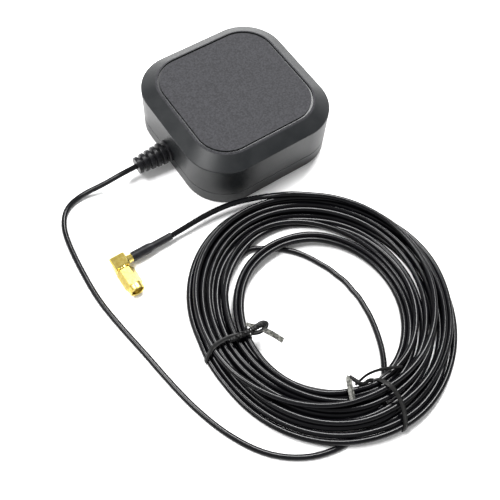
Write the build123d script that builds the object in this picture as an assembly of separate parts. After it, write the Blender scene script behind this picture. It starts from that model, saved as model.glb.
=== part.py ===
from build123d import *
from math import atan, cos, pi, radians, sin, tan
import os

# Square satellite navigation antenna for a vehicle roof: a plastic cover over two stacked
# ceramic patches, a magnet base, and a thin coaxial lead coiled beside it with an angled plug.
# Millimetres, +Z up. The origin is the centre of the housing's underside. The lead leaves
# the -X side. Everything lies on z = 0.
os.makedirs("parts", exist_ok=True)

# Cover: upright walls, a sloped shoulder and a flat top inside a fine groove. Its outside is
# 84 mm square and 32 mm high, which follows from the board, the stack of patches and the walls.
WALL = 2.2
CORNER = 22.6
SEAM_Z = 8.0
SHOULDER_RUN = 7.7
SHOULDER_DROP = 5.0
TOP_CORNER_STEP = 5.2
HEADROOM = 4.6
SHOULDER_EDGE = 0.6
TOP_EDGE = 0.2
GROOVE_RIM = 0.35
GROOVE_WIDTH = 1.1
GROOVE_DEPTH = 0.8

# Base: a shallow tray, its seam and the seal that lies in it
BASE_FLOOR = 2.3
BASE_EDGE = 0.6
SEAM_BEVEL = 0.3
SEAL_INSET = 0.6
SEAL_WIDTH = 1.0
SEAL_DEPTH = 0.8
SEAL_CLEAR = 0.05
RIB_LENGTH = 34.0
RIB_THICK = 1.5
RIB_HEIGHT = 1.5
RIB_CLEAR = 0.15

# Screws from below that hold the base plate to the cover's posts, one in each corner
COVER_SCREW_INSET = 5.35
COVER_SCREW_R = 1.5
COVER_SCREW_HEAD_R = 2.9
COVER_SCREW_LENGTH = 16.0
SCREW_CLEAR = 0.05
PASS_CLEAR = 0.2
COUNTERSINK_EDGE = 0.3
COVER_POST_R = 3.4
SOCKET_R = 1.1
SOCKET_DEPTH = 1.0

# Magnets in cups of the base plate
MAGNET_R = 7.0
MAGNET_THICK = 3.0
MAGNET_AT = 14.0
MAGNET_CLEAR = 0.1
MAGNET_BEVEL = 0.3
CUP_FLOOR = 0.9
CUP_WALL = 1.2
CUP_LIP = 0.5
ROOT = 1.8

# Circuit board on four posts of the base plate, beside the lower patch
BOARD_MARGIN = 8.0
BOARD_CLEAR = 8.8
BOARD_CORNER = 10.0
BOARD_THICK = 1.6
BOARD_POST_X = 20.0
BOARD_POST_R = 3.0
BOARD_SCREW_R = 1.25
BOARD_SCREW_HEAD_R = 2.2
BOARD_SCREW_HEAD = 1.6
BOARD_SCREW_LENGTH = 8.0
BOARD_SCREW_CROSS = 0.6
BOARD_SCREW_CLEAR = 0.3

# Shield can and the amplifier under the board
CAN_MARGIN = 16.0
CAN_HEIGHT = 4.2
CAN_WALL = 0.3
CAN_CORNER = 1.0
CHIP_SIZES = ((4.0, 4.0, 0.9), (3.0, 3.0, 0.9), (2.0, 2.0, 0.8))
CHIP_PLACES = ((-5.5, 5.0), (4.5, -5.0), (7.0, 6.5))
FILTER_SIZE = (3.8, 3.8, 1.4)
FILTER_BEVEL = 0.3
FILTER_PLACES = ((-5.5, -4.0), (0.5, 5.5))
PASSIVE_SIZE = (1.6, 0.8, 0.6)
PASSIVE_PITCH = 2.6
PASSIVE_STEPS = 4
PASSIVE_ROWS = (-10.5, 0.6, 10.5)
PASSIVE_STRIDES = (1, 2, 1)

# Two ceramic patches on foam tape, each with a plated face and a feed pin
TAPE_THICK = 0.3
UPPER_SIDE = 35.0
UPPER_THICK = 5.0
LOWER_THICK = 7.0
PATCH_CHAMFER = 1.0
PLATE_INSET = 3.0
PLATE_TRIM = 2.5
PLATE_THICK = 0.1
PIN_R = 0.6
PIN_CLEAR = 0.05
PIN_HEAD_R = 1.0
PIN_HEAD = 0.4
PIN_HEAD_CLEAR = 0.4
PIN_HEAD_MARGIN = 0.1
PIN_BELOW = 0.8
UPPER_PIN_X = 4.0

# Coaxial lead and its moulded boot in the -X wall
CABLE_R = 1.4
JACKET_WALL = 0.35
BRAID_WALL = 0.3
WIRE_R = 0.25
FIT = 0.05
BOOT_Z = 9.0
BOOT_FLANGE_R = 5.0
BOOT_FLANGE = 2.0
BOOT_NECK_R = 4.0
BOOT_COLLAR_R = 6.0
BOOT_COLLAR = 1.7
BOOT_LENGTH = 18.9
BOOT_CORE_START_R = 4.0
BOOT_CORE_END_R = 3.2
BOOT_RIB_WIDTH = 2.3
BOOT_RIB_EDGE = 0.5
BOOT_RIB_START_R = 5.9
BOOT_RIB_END_R = 4.6
BOOT_RIBS = 5
BRAID_BARE = 5.5
CORE_BARE = 3.0
WIRE_RISE = 2.0
WIRE_FLAT = 2.0
WIRE_BEND = 0.8
CLIP_WIDTH = 3.0
CLIP_THICK = 0.4
CLIP_FOOT = 1.2

# Coil: the outer form of all its turns
COIL_CENTRE = (-23.0, -112.5)
COIL_RADII = (63.2, 68.8)
HOLE_CENTRE = (-27.0, -118.3)
HOLE_RADII = (36.5, 40.4)
COIL_HEIGHT = 7.4
COIL_EDGE = 2.4

# The free stretches of the lead, as chosen by hand along its run
LEAD_POINTS = (
    (-60.9, 0.0, 9.0),
    (-69.0, 0.0, 9.0),
    (-79.5, 1.4, 5.6),
    (-92.0, 4.2, 1.9),
    (-102.6, 1.4, 1.4),
    (-108.9, -8.0, 1.4),
    (-111.4, -22.0, 1.4),
    (-113.0, -38.0, 1.4),
    (-113.4, -54.0, 1.4),
    (-111.3, -71.0, 1.4),
    (-108.3, -88.5, 1.4),
    (-106.0, -106.0, 1.4),
    (-102.7, -123.5, 1.4),
    (-96.8, -142.0, 1.4),
    (-87.0, -159.2, 1.4),
    (-72.2, -170.6, 1.4),
    (-56.4, -174.9, 1.45),
    (-43.0, -173.5, 2.3),
)
INNER_TURN_POINTS = (
    (-24.0, -163.5, 3.0),
    (-14.8, -151.0, 2.4),
    (-8.0, -134.0, 1.5),
    (-5.2, -115.0, 1.4),
    (-8.8, -96.0, 1.4),
    (-19.0, -80.0, 1.5),
    (-34.0, -68.5, 2.4),
)
TAIL_POINTS = (
    (-26.0, -47.0, 6.4),
    (-41.0, -44.4, 6.0),
    (-55.5, -42.8, 4.0),
    (-66.0, -42.8, 4.0),
)
ARC_SHARE = 0.45

# Wire ties: a flat band round the coil, a twisted stem and a flat end
TIE_WIDTH = 2.2
TIE_THICK = 0.7
TIE_CLEAR = 0.1
TIE_CORNER = 2.0
TIE_STEM_SIDE = 1.6
TIE_STEM_FLATNESS = 0.7
TIE_STEM_CLEAR = 0.1
TIE_KNOT = 2.4
TIE_STEM_STEPS = 9
TIE_STEM_TURN = 50.0
TIE_END_LENGTH = 8.0
LEFT_TIE_Y = -107.5
LEFT_KNOT_BACK = 9.3
LEFT_KNOT_ASIDE = 0.5
LEFT_STEM = (16.5, -2.0)
LEFT_TIE_END_ANGLE = -62.0
RIGHT_TIE_X = -27.0
RIGHT_KNOT_BACK = 2.6
RIGHT_KNOT_ASIDE = -1.5
RIGHT_STEM = (-8.0, 9.0)
RIGHT_TIE_END_ANGLE = -118.0

# Angled plug: its axis runs along -Y at the height of the nut's flats
PLUG_AT = (-95.2, -42.8)
NUT_FLATS = 8.0
NUT_CLEAR = 0.05
NUT_WALL = 1.0
NUT_GAP = 0.75
NUT_HEX = 9.8
NUT_FRONT = 2.9
NUT_FRONT_STEP = 0.15
NUT_THREAD_STEP = 0.05
NUT_BEVEL = 0.4
BLOCK_WIDTH = 8.1
BLOCK_LENGTH = 7.3
BLOCK_LOWER = 0.8
BLOCK_EDGE = 0.6
COLLAR_STEP = 0.5
COLLAR = 0.7
NECK_IN_NUT = 4.3
NECK_WALL = 1.0
RING_BACK = 1.8
RING_WIDTH = 0.7
RING_SUNK = 0.4
RING_PROUD = 0.35
RING_PLAY = 0.05
RING_GAP_ANGLE = 40.0
GASKET_CLEAR = 0.1
GASKET = 0.8
FERRULE_WALL = 0.28
FERRULE = 4.4
INSULATOR_START = 1.6
CONTACT_R = 0.46
CONTACT_PROUD = 2.2
CONTACT_TIP = 0.4
CONTACT_BACK = 1.2
WIRE_SLOT_CLEAR = 0.05
CAP_SEAT = 0.5
CAP_THICK = 0.7
STEM_WALL = 0.4
STEM = 7.65
STEM_ROOT = 1.0
STEM_FLANGE_STEP = 1.0
STEM_FLANGE = 1.2
JACKET_GAP = 0.5
CRIMP_WALL = 0.4
CRIMP_OVER_JACKET = 3.5
SLEEVE_GAP = 2.75
SLEEVE_OVER_CRIMP = 0.5
SLEEVE_STEP = 2.6
SLEEVE_NARROW = 10.4
SLEEVE_WALL = 0.5
OVERCUT = 1.0


def rounded_square(side, corner, z=0.0):
    """A rounded square sketch centred on the vertical axis at height z."""
    return Pos(0, 0, z) * RectangleRounded(side, side, corner)


def slab(side, corner, z, height):
    """An upright block with rounded corners."""
    return extrude(rounded_square(side, corner, z), height)


def disc(radius, z, height, at=(0.0, 0.0)):
    """An upright cylinder from z to z + height."""
    return Pos(at[0], at[1], z) * Cylinder(radius, height, align=(Align.CENTER, Align.CENTER, Align.MIN))


def block(size, at, z):
    """An upright box that starts at height z."""
    return Pos(at[0], at[1], z) * Box(*size, align=(Align.CENTER, Align.CENTER, Align.MIN))


def mirrored(x, y):
    """A place and its mirror images across both middle planes."""
    return [(side * x, end * y) for side in (-1, 1) for end in (-1, 1)]


def revolved(profile, plane):
    """A solid of revolution from (radius, height) points about the plane's normal."""
    outline = make_face(Polyline(*[(r, 0, h) for r, h in profile], close=True))
    return plane * revolve(outline, Axis.Z)


def save(shape, node):
    """Write one named piece."""
    export_step(shape, f"parts/{node}.step")


# The stack of patches on the board, from the bottom up
board_z = BOOT_Z + CABLE_R
board_top = board_z + BOARD_THICK
lower_z = board_top + TAPE_THICK
lower_plate_z = lower_z + LOWER_THICK
upper_tape_z = lower_plate_z + PLATE_THICK
upper_z = upper_tape_z + TAPE_THICK
upper_plate_z = upper_z + UPPER_THICK
stack_top = upper_plate_z + PLATE_THICK + PIN_HEAD

# Its widths, from the upper patch out to the housing
lower_pin_x = UPPER_SIDE / 2 + PIN_HEAD_CLEAR + PIN_HEAD_R
lower_plate_side = 2 * (lower_pin_x + PIN_HEAD_R + PIN_HEAD_MARGIN)
upper_plate_side = UPPER_SIDE - 2 * PLATE_INSET
lower_side = lower_plate_side + 2 * PLATE_INSET
board_side = lower_side + 2 * BOARD_MARGIN
can_side = board_side - 2 * CAN_MARGIN
inner_side = board_side + 2 * BOARD_CLEAR
outer_side = inner_side + 2 * WALL

# Heights and widths of the cover
top_z = stack_top + HEADROOM + WALL
shoulder_z = top_z - SHOULDER_DROP
top_side = outer_side - 2 * SHOULDER_RUN
top_corner = CORNER - TOP_CORNER_STEP
tilt = atan(SHOULDER_DROP / SHOULDER_RUN)
inner_shoulder_z = shoulder_z - WALL / cos(tilt) + WALL * tan(tilt)
ceiling_z = top_z - WALL
ceiling_inset = (WALL / cos(tilt) - WALL) / tan(tilt)
cover_screw_at = outer_side / 2 - CORNER + (CORNER - COVER_SCREW_INSET) / 2 ** 0.5
cover_screws_at = mirrored(cover_screw_at, cover_screw_at)
magnets_at = mirrored(MAGNET_AT, MAGNET_AT)
board_posts = mirrored(BOARD_POST_X, lower_side / 2 + BOARD_SCREW_CLEAR + BOARD_SCREW_HEAD_R)

# Layers of the lead
braid_r = CABLE_R - JACKET_WALL
core_r = braid_r - BRAID_WALL


def cover_outside():
    """The outer form of the cover before it is hollowed."""
    walls = slab(outer_side, CORNER, SEAM_Z, shoulder_z - SEAM_Z)
    shoulder = loft(
        [rounded_square(outer_side, CORNER, shoulder_z), rounded_square(top_side, top_corner, top_z)],
        ruled=True,
    )
    form = walls + shoulder
    form = fillet(form.edges().filter_by_position(Axis.Z, shoulder_z, shoulder_z), SHOULDER_EDGE)
    form = fillet(form.edges().filter_by_position(Axis.Z, top_z, top_z), TOP_EDGE)
    return chamfer(form.edges().filter_by_position(Axis.Z, SEAM_Z, SEAM_Z), SEAM_BEVEL)


def cover_cavity():
    """The space inside the cover."""
    walls = slab(inner_side, CORNER - WALL, SEAM_Z, inner_shoulder_z - SEAM_Z)
    ceiling = rounded_square(top_side - 2 * ceiling_inset, top_corner - ceiling_inset, ceiling_z)
    slope = loft([rounded_square(inner_side, CORNER - WALL, inner_shoulder_z), ceiling], ruled=True)
    return walls + slope


def top_groove():
    """The fine groove round the flat top."""
    outer = top_side - 2 * GROOVE_RIM
    inner = outer - 2 * GROOVE_WIDTH
    ring = rounded_square(outer, top_corner - GROOVE_RIM, top_z - GROOVE_DEPTH)
    ring -= rounded_square(inner, top_corner - GROOVE_RIM - GROOVE_WIDTH, top_z - GROOVE_DEPTH)
    return extrude(ring, 2 * GROOVE_DEPTH)


outside = cover_outside()
cover = outside - cover_cavity()
for place in cover_screws_at:
    cover += disc(COVER_POST_R, SEAM_Z, top_z - SEAM_Z, place) & outside
for place in cover_screws_at:
    cover -= disc(COVER_SCREW_R + SCREW_CLEAR, SEAM_Z, COVER_SCREW_LENGTH - SEAM_Z, place)
cover -= top_groove()
boot_plane = Plane(origin=(-outer_side / 2, 0, BOOT_Z), x_dir=(0, 1, 0), z_dir=(-1, 0, 0))
boot_hole = boot_plane * disc(BOOT_NECK_R + FIT, -WALL, WALL)
save(cover - boot_hole, "top_cover")

# Base with its seal, screws and magnets. The boot sits in the seam, so it interrupts the seal and
# the rib beside it.
seal_z = SEAM_Z - SEAL_DEPTH
seal_outer = outer_side - 2 * SEAL_INSET
seal_inner = seal_outer - 2 * SEAL_WIDTH


def seal_ring(grow):
    """The seal's ring, or with grow its groove."""
    outer = rounded_square(seal_outer + 2 * grow, CORNER - SEAL_INSET + grow, seal_z)
    inner = rounded_square(seal_inner - 2 * grow, CORNER - SEAL_INSET - SEAL_WIDTH - grow, seal_z)
    return extrude(outer - inner, SEAL_DEPTH)


def countersunk(radius, head_radius, clear):
    """A screw form along +Z with its flat head at z = 0."""
    neck = radius + clear
    head = head_radius + clear
    outline = [
        (0, 0),
        (head, 0),
        (head, COUNTERSINK_EDGE),
        (neck, COUNTERSINK_EDGE + head - neck),
        (neck, COVER_SCREW_LENGTH),
        (0, COVER_SCREW_LENGTH),
    ]
    return revolved(outline, Plane.XY)


base = slab(outer_side, CORNER, 0, SEAM_Z)
base = fillet(base.edges().filter_by_position(Axis.Z, 0, 0), BASE_EDGE)
base = chamfer(base.edges().filter_by_position(Axis.Z, SEAM_Z, SEAM_Z), SEAM_BEVEL)
base -= slab(inner_side, CORNER - WALL, BASE_FLOOR, SEAM_Z - BASE_FLOOR)
base_outside = slab(outer_side, CORNER, 0, SEAM_Z)
for place in cover_screws_at:
    base += disc(COVER_POST_R, BASE_FLOOR, SEAM_Z - BASE_FLOOR, place) & base_outside
base -= seal_ring(SEAL_CLEAR)
rib_base = RIB_THICK + RIB_CLEAR
lip_at = (inner_side - RIB_THICK) / 2 - RIB_CLEAR
for turn in range(4):
    lower = block((RIB_LENGTH, rib_base, SEAM_Z - BASE_FLOOR), (0, (inner_side - rib_base) / 2), BASE_FLOOR)
    upper = block((RIB_LENGTH, RIB_THICK, RIB_HEIGHT), (0, lip_at), SEAM_Z)
    base += Rot(0, 0, 90 * turn) * (lower + upper)
cup_top = CUP_FLOOR + MAGNET_THICK + CUP_LIP
root_z = BASE_FLOOR - ROOT
for place in magnets_at:
    base += disc(MAGNET_R + MAGNET_CLEAR + CUP_WALL, root_z, cup_top - root_z, place)
for place in board_posts:
    base += disc(BOARD_POST_R, root_z, board_z - root_z, place)
for place in magnets_at:
    base -= disc(MAGNET_R + MAGNET_CLEAR, CUP_FLOOR, MAGNET_THICK + CUP_LIP, place)
for place in board_posts:
    base -= disc(BOARD_SCREW_R + SCREW_CLEAR, board_top - BOARD_SCREW_LENGTH, BOARD_SCREW_LENGTH, place)
for place in cover_screws_at:
    base -= Pos(*place, 0) * countersunk(COVER_SCREW_R, COVER_SCREW_HEAD_R, PASS_CLEAR)
base -= boot_plane * disc(BOOT_FLANGE_R + FIT, -WALL - BOOT_FLANGE, BOOT_FLANGE)
save(base - boot_hole, "base_plate")
save(seal_ring(0.0) - boot_hole, "sealing_ring")

socket = extrude(RegularPolygon(SOCKET_R, 6), SOCKET_DEPTH)
cover_screw = countersunk(COVER_SCREW_R, COVER_SCREW_HEAD_R, 0.0) - socket
save(Compound([Pos(*place, 0) * cover_screw for place in cover_screws_at]), "cover_screws")

magnet = chamfer(disc(MAGNET_R, CUP_FLOOR, MAGNET_THICK).edges(), MAGNET_BEVEL)
save(Compound([Pos(*place, 0) * magnet for place in magnets_at]), "magnets")

# Circuit board, its screws, and the amplifier under its shield can
pins = ((UPPER_PIN_X, 0.0), (lower_pin_x, 0.0))
board = slab(board_side, BOARD_CORNER, board_z, BOARD_THICK)
for place in board_posts:
    board -= disc(BOARD_SCREW_R + PASS_CLEAR, board_z, BOARD_THICK, place)
for place in pins:
    board -= disc(PIN_R + PIN_CLEAR, board_z, BOARD_THICK, place)
for place in cover_screws_at:
    board -= disc(COVER_POST_R + PASS_CLEAR, board_z, BOARD_THICK, place)
save(board, "circuit_board")

board_screw = disc(BOARD_SCREW_HEAD_R, board_top, BOARD_SCREW_HEAD)
board_screw = fillet(board_screw.edges().sort_by(Axis.Z)[-1], BOARD_SCREW_HEAD / 2)
board_screw += disc(BOARD_SCREW_R, board_top - BOARD_SCREW_LENGTH, BOARD_SCREW_LENGTH)
cross_size = (2 * BOARD_SCREW_R, BOARD_SCREW_CROSS, BOARD_SCREW_HEAD)
cross = block(cross_size, (0, 0), board_top + BOARD_SCREW_HEAD / 2)
board_screw -= cross + Rot(0, 0, 90) * cross
save(Compound([Pos(*place, 0) * board_screw for place in board_posts]), "board_screws")

can_inner = can_side - 2 * CAN_WALL
can = slab(can_side, CAN_CORNER, board_z - CAN_HEIGHT, CAN_HEIGHT)
can -= slab(can_inner, CAN_CORNER - CAN_WALL, board_z - CAN_HEIGHT + CAN_WALL, CAN_HEIGHT)
save(can, "shield_can")

chips = [block(size, place, board_z - size[2]) for size, place in zip(CHIP_SIZES, CHIP_PLACES)]
save(Compound(chips), "amplifier_chips")
filters = [
    chamfer(block(FILTER_SIZE, place, board_z - FILTER_SIZE[2]).edges().group_by(Axis.Z)[0], FILTER_BEVEL)
    for place in FILTER_PLACES
]
save(Compound(filters), "signal_filters")
passives = []
for row, stride in zip(PASSIVE_ROWS, PASSIVE_STRIDES):
    for step in range(-PASSIVE_STEPS, PASSIVE_STEPS + 1, stride):
        place = (step * PASSIVE_PITCH, row)
        near_pin = abs(place[0] - UPPER_PIN_X) < PASSIVE_SIZE[0] and abs(place[1]) < PASSIVE_SIZE[0]
        if not near_pin:
            passives.append(block(PASSIVE_SIZE, place, board_z - PASSIVE_SIZE[2]))
save(Compound(passives), "board_passives")

# Ceramic patches, tapes, plated faces and feed pins
def square_layer(side, z, thick, pin_places, trim=0.0):
    """A square plate with holes for the pins, and two corners cut off by trim."""
    plate = block((side, side, thick), (0, 0), z)
    if trim:
        upright = plate.edges().filter_by(Axis.Z)
        cut = [edge for edge in upright if edge.center().X * edge.center().Y > 0]
        plate = chamfer(cut, trim)
    for place in pin_places:
        plate -= disc(PIN_R + PIN_CLEAR, z, thick, place)
    return plate


def ceramic(side, z, thick, pin_places):
    """A ceramic patch with small bevels on its upright edges."""
    patch = block((side, side, thick), (0, 0), z)
    patch = chamfer(patch.edges().filter_by(Axis.Z), PATCH_CHAMFER)
    for place in pin_places:
        patch -= disc(PIN_R + PIN_CLEAR, z, thick, place)
    return patch


save(ceramic(lower_side, lower_z, LOWER_THICK, pins), "lower_patch")
save(ceramic(UPPER_SIDE, upper_z, UPPER_THICK, pins[:1]), "upper_patch")
lower_plating = square_layer(lower_plate_side, lower_plate_z, PLATE_THICK, pins, PLATE_TRIM)
save(lower_plating, "lower_patch_plating")
upper_plating = square_layer(upper_plate_side, upper_plate_z, PLATE_THICK, pins[:1], PLATE_TRIM)
save(upper_plating, "upper_patch_plating")
tapes = [
    square_layer(lower_side, board_top, TAPE_THICK, pins),
    square_layer(UPPER_SIDE, upper_tape_z, TAPE_THICK, pins[:1]),
]
save(Compound(tapes), "patch_tapes")


def feed_pin(place, head_z):
    """A headed pin from the plated face down through the board."""
    foot_z = board_z - PIN_BELOW
    return disc(PIN_R, foot_z, head_z - foot_z, place) + disc(PIN_HEAD_R, head_z, PIN_HEAD, place)


feed_pins = [
    feed_pin(pins[0], upper_plate_z + PLATE_THICK),
    feed_pin(pins[1], lower_plate_z + PLATE_THICK),
]
save(Compound(feed_pins), "feed_pins")

# Boot: flange and neck in the wall, a collar, and ribs that shrink towards the end
def ribbed_boot():
    """The boot, turned about the lead's axis, with its bore cut through."""
    core = [
        (0, -WALL - BOOT_FLANGE),
        (BOOT_FLANGE_R, -WALL - BOOT_FLANGE),
        (BOOT_FLANGE_R, -WALL),
        (BOOT_NECK_R, -WALL),
        (BOOT_NECK_R, 0),
        (BOOT_COLLAR_R, 0),
        (BOOT_COLLAR_R, BOOT_COLLAR - BOOT_RIB_EDGE),
        (BOOT_COLLAR_R - BOOT_RIB_EDGE, BOOT_COLLAR),
        (BOOT_CORE_START_R, BOOT_COLLAR),
        (BOOT_CORE_END_R, BOOT_LENGTH),
        (0, BOOT_LENGTH),
    ]
    boot = revolved(core, boot_plane)
    pitch = (BOOT_LENGTH - BOOT_COLLAR) / BOOT_RIBS
    for rib in range(BOOT_RIBS):
        end = BOOT_LENGTH - (BOOT_RIBS - 1 - rib) * pitch
        share = rib / (BOOT_RIBS - 1)
        radius = BOOT_RIB_START_R + share * (BOOT_RIB_END_R - BOOT_RIB_START_R)
        ring = boot_plane * disc(radius, end - BOOT_RIB_WIDTH, BOOT_RIB_WIDTH)
        boot += fillet(ring.edges().filter_by(GeomType.CIRCLE), BOOT_RIB_EDGE)
    bore = disc(CABLE_R + FIT, -WALL - BOOT_FLANGE, BOOT_LENGTH + WALL + BOOT_FLANGE)
    return boot - boot_plane * bore


save(ribbed_boot(), "strain_relief")


def along_x(radius, start_x, end_x, y, z):
    """A round rod along X."""
    plane = Plane(origin=(start_x, y, z), x_dir=(0, 1, 0), z_dir=(1 if end_x > start_x else -1, 0, 0))
    return plane * disc(radius, 0, abs(end_x - start_x))


boot_end_x = -outer_side / 2 - BOOT_LENGTH
jacket_end_x = -board_side / 2
braid_end_x = jacket_end_x + BRAID_BARE
core_end_x = braid_end_x + CORE_BARE
wire_rise_x = core_end_x + WIRE_RISE
wire_tip_x = wire_rise_x + WIRE_FLAT
save(along_x(CABLE_R, boot_end_x, jacket_end_x, 0, BOOT_Z), "entry_jacket")
save(along_x(braid_r, jacket_end_x, braid_end_x, 0, BOOT_Z), "entry_braid")


def fillet_path(points, radii):
    """Straight runs through the points, joined by arcs."""
    return FilletPolyline(*points, radius=radii)


def round_sweep(path, radius):
    """A round rod along a path."""
    start = Plane(origin=path @ 0, z_dir=path % 0)
    return sweep(start * Circle(radius), path)


wire_z = board_z - WIRE_R
wire_path = fillet_path(
    [(braid_end_x, 0, BOOT_Z), (core_end_x, 0, BOOT_Z), (wire_rise_x, 0, wire_z), (wire_tip_x, 0, wire_z)],
    [WIRE_BEND, WIRE_BEND],
)
entry_wire = round_sweep(wire_path, WIRE_R)
entry_core = along_x(core_r, braid_end_x, core_end_x - WIRE_BEND, 0, BOOT_Z)
save(entry_core - along_x(WIRE_R, braid_end_x, core_end_x, 0, BOOT_Z), "entry_insulation")
save(entry_wire, "entry_wire")

clip_x = (jacket_end_x + braid_end_x) / 2
clip_inner = braid_r + FIT
clip_outer = clip_inner + CLIP_THICK
clip_rise = board_z - BOOT_Z
half_ring = Pos(clip_x, 0, BOOT_Z) * Rot(0, 90, 0) * Cylinder(clip_outer, CLIP_WIDTH)
clip = half_ring - block((CLIP_WIDTH, 2 * clip_outer, clip_outer), (clip_x, 0), BOOT_Z)
clip += block((CLIP_WIDTH, 2 * clip_outer, clip_rise), (clip_x, 0), BOOT_Z)
foot_size = (CLIP_WIDTH, 2 * (clip_outer + CLIP_FOOT), CLIP_THICK)
clip += block(foot_size, (clip_x, 0), board_z - CLIP_THICK)
clip -= block((CLIP_WIDTH, 2 * clip_inner, clip_rise), (clip_x, 0), BOOT_Z)
clip -= Pos(clip_x, 0, BOOT_Z) * Rot(0, 90, 0) * Cylinder(clip_inner, CLIP_WIDTH)
save(clip, "braid_clip")


# The lead's free stretches and its coil
def arc_radii(points):
    """The largest arc that each corner's two runs leave room for."""
    radii = []
    for before, corner, after in zip(points, points[1:], points[2:]):
        first = Vector(corner) - Vector(before)
        second = Vector(after) - Vector(corner)
        half_turn = radians(first.get_angle(second)) / 2
        radii.append(ARC_SHARE * min(first.length, second.length) / tan(half_turn))
    return radii


def lead_tube(points, node):
    """A stretch of the lead through hand-set points."""
    radii = arc_radii(points)
    path = fillet_path(points, radii)
    tube = round_sweep(path, CABLE_R)
    print(node, "smallest radii", sorted(round(radius, 1) for radius in radii)[:4], end=" ")
    share = tube.volume / (pi * CABLE_R ** 2 * path.length)
    print("length", round(path.length, 1), "volume share", round(share, 4))
    save(tube, node)


lead_tube(LEAD_POINTS, "cable_lead")
lead_tube(INNER_TURN_POINTS, "cable_inner_turn")
lead_tube(TAIL_POINTS, "cable_tail")

coil_z = TIE_THICK + TIE_CLEAR
coil_face = Pos(*COIL_CENTRE, coil_z) * Ellipse(*COIL_RADII)
coil_face -= Pos(*HOLE_CENTRE, coil_z) * Ellipse(*HOLE_RADII)
coil = extrude(coil_face, COIL_HEIGHT)
coil = fillet(coil.edges().group_by(Axis.Z)[-1] + coil.edges().group_by(Axis.Z)[0], COIL_EDGE)
save(coil, "cable_coil")


# Wire ties round the coil
def ellipse_reach(centre, radii, offset, axis):
    """How far an ellipse reaches along one axis at an offset from its centre along the other."""
    across = offset - centre[1 - axis]
    return radii[axis] * (1 - (across / radii[1 - axis]) ** 2) ** 0.5


def coil_span(offset, axis):
    """Where the coil's band starts and ends on its lower side, over a tie's width."""
    sides = (offset - TIE_WIDTH / 2, offset + TIE_WIDTH / 2)
    outer = min(COIL_CENTRE[axis] - ellipse_reach(COIL_CENTRE, COIL_RADII, side, axis) for side in sides)
    inner = max(HOLE_CENTRE[axis] - ellipse_reach(HOLE_CENTRE, HOLE_RADII, side, axis) for side in sides)
    return outer, inner


tie_top = coil_z + COIL_HEIGHT + TIE_CLEAR + TIE_THICK
stem_reach = TIE_STEM_SIDE / 2 * (1 + TIE_STEM_FLATNESS ** 2) ** 0.5
stem_z = tie_top + TIE_STEM_CLEAR + stem_reach


def tie_loop(outer, inner):
    """The band of a tie as an upright ring in the plane through the coil's section."""
    width = inner - outer + 2 * TIE_CLEAR
    bottom = coil_z - TIE_CLEAR
    height = tie_top - TIE_THICK - bottom
    hole = RectangleRounded(width, height, TIE_CORNER)
    ring = RectangleRounded(width + 2 * TIE_THICK, height + 2 * TIE_THICK, TIE_CORNER + TIE_THICK) - hole
    middle = ((outer + inner) / 2, 0, bottom + height / 2)
    upright = Plane(origin=middle, x_dir=(1, 0, 0), z_dir=(0, -1, 0))
    return extrude(upright * ring, TIE_WIDTH / 2, both=True)


def tie_stem(start, reach, end_angle):
    """The knot and the twisted stem on top of the band, and the flat end that leaves the stem."""
    first = Vector(*start, stem_z)
    last = first + Vector(*reach, 0)
    along = (last - first).normalized()
    sections = []
    for step in range(TIE_STEM_STEPS + 1):
        point = first + (last - first) * (step / TIE_STEM_STEPS)
        plane = Plane(origin=point, x_dir=Vector(0, 0, 1), z_dir=along)
        plane = plane.rotated((0, 0, step * TIE_STEM_TURN))
        sections.append(plane * Rectangle(TIE_STEM_SIDE, TIE_STEM_SIDE * TIE_STEM_FLATNESS))
    knot_z = tie_top - TIE_THICK / 2
    knot = block((TIE_KNOT, TIE_WIDTH, stem_z + stem_reach - knot_z), start, knot_z)
    stem = knot + loft(sections)
    end_size = (TIE_END_LENGTH, TIE_WIDTH, TIE_THICK)
    flat = Box(*end_size, align=(Align.MIN, Align.CENTER, Align.CENTER))
    return stem + Pos(last.X, last.Y, stem_z) * Rot(0, 0, end_angle) * flat


left_outer, left_inner = coil_span(LEFT_TIE_Y, 0)
left_knot = (left_inner - LEFT_KNOT_BACK, LEFT_KNOT_ASIDE)
left_tie = tie_loop(left_outer, left_inner) + tie_stem(left_knot, LEFT_STEM, LEFT_TIE_END_ANGLE)
save(Pos(0, LEFT_TIE_Y, 0) * left_tie, "twist_tie_left")

right_outer, right_inner = coil_span(RIGHT_TIE_X, 1)
right_knot = (RIGHT_KNOT_ASIDE, right_inner - RIGHT_KNOT_BACK)
right_tie = Rot(0, 0, 90) * tie_loop(right_outer, right_inner)
right_tie += tie_stem(right_knot, RIGHT_STEM, RIGHT_TIE_END_ANGLE)
save(Pos(RIGHT_TIE_X, 0, 0) * right_tie, "twist_tie_right")

# Plug: local +Z is its mating direction, local X runs along its lead
plug_z = NUT_FLATS / 2
plug = Plane(origin=(*PLUG_AT, plug_z), x_dir=(1, 0, 0), z_dir=(0, -1, 0))
side_port = Plane(origin=(0, 0, 0), x_dir=(0, 1, 0), z_dir=(1, 0, 0))
block_height = NUT_FLATS - BLOCK_LOWER
block_front = BLOCK_LENGTH / 2
block_side = BLOCK_WIDTH / 2
neck_r = NUT_FLATS / 2 - NUT_WALL
cavity_r = neck_r - NECK_WALL
ferrule_r = cavity_r + FERRULE_WALL
ring_inner_r = neck_r - RING_SUNK
ring_outer_r = neck_r + RING_PROUD
cap_r = cavity_r + CAP_SEAT
stem_r = core_r + FIT + STEM_WALL
flared_braid_r = stem_r + FIT + BRAID_WALL
crimp_r = flared_braid_r + FIT + CRIMP_WALL
nut_thread_r = neck_r - NUT_THREAD_STEP

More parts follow.
